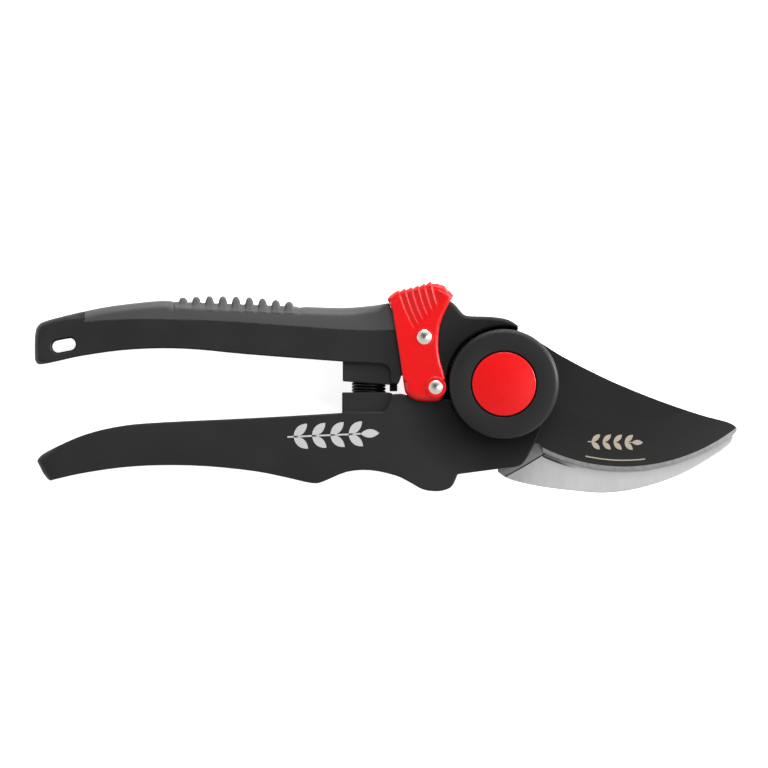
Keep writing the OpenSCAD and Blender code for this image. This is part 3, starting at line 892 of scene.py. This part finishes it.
seat, dome_r = COVER_TOP - SEAT_DEPTH, CAP_R - CAP_EDGE
cap_profile = ([(0, seat), (CAP_R, seat)]
               + arc(dome_r, dome_height(dome_r) - CAP_EDGE, CAP_EDGE, 0, 80, 5)
               + [(r, dome_height(r)) for r in np.linspace(dome_r, 0, 9)])
cap = turned("front_cap_dome", cap_profile, steps=128)
place_piece(cap, "blade_side", RED, ["front_cap"])
back_profile = ([(0, 0), (CAP_R - BACK_EDGE, 0)]
                + arc(CAP_R - BACK_EDGE, BACK_EDGE, BACK_EDGE, -80, 0, 4)
                + [(CAP_R, BACK_CAP_T), (0, BACK_CAP_T)])
back_cap = turned("rear_cap_disc", back_profile, steps=128)
place_piece(back_cap, "hook_side", RED, ["rear_cap"])


HEAD_BULGE, HEAD_EDGE, SHANK_R = 0.62, 0.15, 1.5


def rivet(name, node, centre):
    """Domed head on both ends of a shank."""
    low, high = cad(node)
    head_r = (high[0] - low[0]) / 2
    ball = (head_r ** 2 + HEAD_BULGE ** 2) / (2 * HEAD_BULGE)
    half = math.degrees(math.asin(head_r / ball))
    front = arc(0, high[2] - ball, ball, 90 - half, 90, 8)
    rear = arc(0, low[2] + ball, ball, -90, -90 + half, 8)
    under, over = rear[-1][1] + HEAD_EDGE, front[0][1] - HEAD_EDGE
    shank = [(head_r, under), (SHANK_R, under), (SHANK_R, over), (head_r, over)]
    return turned(name, rear + shank + front, centre, 64)


for node, centre in (("lever_rivet", LEVER_PIVOT), ("lock_pin", LOCK_PIN)):
    place_piece(rivet(node + "_domed", node, centre), "lever", NICKEL, [node])


# ---------------------------------------------------------------- return spring

def coil(turns=15, steps=32, sides=10, wire=0.85, outer=10.3):
    """Compression spring with closed ends; returns the piece and each ring's share."""
    rings = turns * steps + 1
    length = SPRING_HIGH - SPRING_LOW - wire
    share = np.linspace(0, 1, rings)
    ends = 1.0 / turns
    open_part = np.clip((share - ends) / (1 - 2 * ends), 0, 1)
    angle = share * turns * 2 * math.pi
    radius = (outer - wire) / 2
    side = np.arange(sides) * 2 * math.pi / sides
    r = radius + np.cos(side) * wire / 2
    points = np.stack([
        SPRING_X + np.cos(angle)[:, None] * r,
        SPRING_LOW + wire / 2 + length * share[:, None] + np.sin(side) * wire / 2,
        MID_Z + np.sin(angle)[:, None] * r], axis=2).reshape(-1, 3)
    k = np.arange(sides)
    faces = []
    for i in range(rings - 1):
        for a, b in zip(k, np.roll(k, -1)):
            faces.append((i * sides + a, i * sides + b, (i + 1) * sides + b,
                          (i + 1) * sides + a))
    faces.append(tuple(k[::-1]))
    faces.append(tuple((rings - 1) * sides + k))
    return add_mesh("return_spring_coil", points, faces), np.repeat(open_part, sides)


spring, follow = coil()
spring.data.materials.append(SPRING)
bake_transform(spring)
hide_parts("return_spring")


# ---------------------------------------------------------------- leaf marks

MARK_IN, MARK_OUT = 0.02, 0.03
MARK_ROOT = 0.05


def leaf(x, y, length, width, angle):
    """Outline of a pointed leaf that starts at (x, y)."""
    t = np.linspace(0, 1, 9)
    side = width / 2 * np.sin(math.pi * t) ** 0.8
    along = np.concatenate([t, t[-2:0:-1]]) * length
    across = np.concatenate([side, -side[-2:0:-1]])
    c, s = math.cos(math.radians(angle)), math.sin(math.radians(angle))
    return np.stack([x + along * c - across * s, y + along * s + across * c], 1)


def flat_marks(name, outlines, height, thick):
    """Thin raised marks with the given outlines on a face of the given height."""
    points, faces = [], []
    for outline in outlines:
        n, base = len(outline), len(points)
        z = height(outline[:, 0], outline[:, 1])
        points += [(p[0], p[1], q - MARK_ROOT) for p, q in zip(outline, z)]
        points += [(p[0], p[1], q + thick) for p, q in zip(outline, z)]
        faces.append(tuple(base + n + i for i in range(n)))
        faces.append(tuple(base + i for i in reversed(range(n))))
        faces += [(base + i, base + (i + 1) % n, base + n + (i + 1) % n, base + n + i)
                  for i in range(n)]
    return add_mesh(name, np.array(points), faces, smooth=False)


def sprig(x, y, length, size, pairs, tilt=0):
    """A stem with leaf pairs and a leaf at its tip."""
    c, s = math.cos(math.radians(tilt)), math.sin(math.radians(tilt))
    half = 0.045 * size
    stem = [(x + u * c - v * s, y + u * s + v * c)
            for u, v in ((0, -half), (length, -half), (length, half), (0, half))]
    shapes = [np.array(stem)]
    for i in range(pairs):
        u = length * (i + 0.35) / pairs
        for turn in (42, -42):
            shapes.append(leaf(x + u * c, y + u * s, size, size * 0.46, tilt + turn))
    shapes.append(leaf(x + length * c, y + length * s, size, size * 0.46, tilt))
    return shapes


def band(radius, width, start, end, n=16):
    """Thin arc about the centre of the cutting edge."""
    turn = np.radians(np.linspace(start, end, n))
    ring = [EDGE_CENTRE + r * np.stack([np.cos(turn), np.sin(turn)], 1)
            for r in (radius - width / 2, radius + width / 2)]
    return np.concatenate([ring[0], ring[1][::-1]])


def handle_face(x, y):
    """Height of the lower handle's face under its print."""
    return np.full(len(x), FRONT_Z - MARK_IN)


handle_mark = flat_marks("handle_leaf_print", sprig(-65, -15.9, 22, 5.6, 4, 2.5),
                         handle_face, MARK_OUT)
place_piece(handle_mark, "blade_side", PRINT)
blade_mark = flat_marks("blade_leaf_etching", sprig(25.2, -17.3, 13.2, 3.36, 4, -1)
                        + [band(52.9, 0.35, 257.5, 277)], blade_top, MARK_OUT)
place_piece(blade_mark, "blade_side", ETCH)


# ---------------------------------------------------------------- floor, light, camera

VIEW_CENTRE = (-0.036, 0, 0.011)


def area_light(name, place, size, power, mirrored=True):
    """Softbox aimed at the shears; one that isn't mirrored leaves no highlight."""
    data = bpy.data.lights.new(name, "AREA")
    data.shape = "RECTANGLE"
    data.size, data.size_y = size
    data.energy = power
    obj = bpy.data.objects.new(name, data)
    obj.location = place
    obj.visible_glossy = mirrored
    aim = Vector(VIEW_CENTRE) - Vector(place)
    obj.rotation_euler = aim.to_track_quat("-Z", "Y").to_euler()
    bpy.context.scene.collection.objects.link(obj)


floor_mesh = bpy.data.meshes.new("floor")
floor_mesh.from_pydata([(-4, -4, 0), (4, -4, 0), (4, 4, 0), (-4, 4, 0)], [], [(0, 1, 2, 3)])
floor = bpy.data.objects.new("floor", floor_mesh)
floor.location.z = -0.0003
bpy.context.scene.collection.objects.link(floor)
pale = plain("pale_floor", (0.8, 0.8, 0.8), 0.9, specular=0.1, grain=300, strength=0.02,
             shift=0.01)
glow = pale.node_tree.nodes["Principled BSDF"].inputs
glow["Emission Color"].default_value = (1, 1, 1, 1)
glow["Emission Strength"].default_value = 0.84
floor_mesh.materials.append(pale)

world = bpy.data.worlds.new("studio")
bpy.context.scene.world = world
world.use_nodes = True
tree = world.node_tree
up = tree.nodes.new("ShaderNodeVectorMath")
up.operation = "DOT_PRODUCT"
up.inputs[1].default_value = (-0.06, 0.22, 0.974)
tree.links.new(tree.nodes.new("ShaderNodeTexCoord").outputs["Generated"], up.inputs[0])
# The sky is dark overhead, so that the black faces mirror little of it, and pale around.
sky = spread(tree, up.outputs["Value"], 0.82, 0.965, 0.64, 0.04)
tree.links.new(sky, tree.nodes["Background"].inputs["Strength"])
tree.nodes["Background"].inputs["Color"].default_value = (1, 1, 1, 1)

# Place and size in metres, power in watts.
area_light("key", (0.1, 0.75, 0.9), (0.4, 0.4), 6.5, mirrored=False)
area_light("softbox_top", (0.05, 1.0, 0.5), (0.6, 0.2), 6)
area_light("softbox_right", (0.42, -0.02, 0.85), (0.3, 0.4), 0.9)
area_light("rim_right", (0.9, 0.25, 0.22), (0.25, 0.5), 15)
area_light("softbox_left", (-1.0, -0.1, 0.3), (0.2, 0.5), 0.7)

LENS, SENSOR = 900.0, 36.0
FRAME_WIDTH = 0.2304
camera_data = bpy.data.cameras.new("camera")
camera_data.lens = LENS
camera_data.sensor_width = SENSOR
camera_data.clip_end = 20
camera = bpy.data.objects.new("camera", camera_data)
camera.location = (VIEW_CENTRE[0], 0.0, FRONT_Z * MM + FRAME_WIDTH * LENS / SENSOR)
bpy.context.scene.collection.objects.link(camera)
bpy.context.scene.camera = camera
bpy.context.scene.view_settings.view_transform = "Standard"
